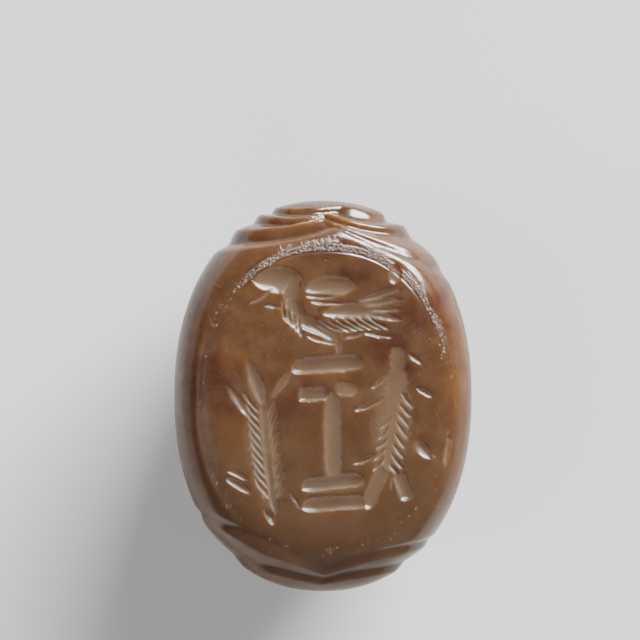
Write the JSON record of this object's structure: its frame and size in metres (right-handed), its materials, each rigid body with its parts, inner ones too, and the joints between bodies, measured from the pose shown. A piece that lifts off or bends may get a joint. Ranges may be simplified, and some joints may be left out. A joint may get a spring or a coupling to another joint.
{
  "type": "intaglio gem",
  "caption": "Oval stamp seal of translucent brown stone: flat face engraved with a bird over an altar between plants, domed back, fluted ends and a string hole from side to side.",
  "frame": {"origin": "middle of the small flat spot on the domed back that the stone rests on", "axes": "+Z out of the engraved face, +Y along the stone's length towards the bird, +X to the viewer's right; the string hole runs along X"},
  "size_m": [0.0168, 0.0222, 0.014],
  "materials": {
    "carnelian": "translucent brown stone, polished and worn, with a matte engraving and a frosted, chipped rim"
  },
  "bodies": {
    "root": {"seal_stone": "carnelian"}
  },
  "joints": []
}
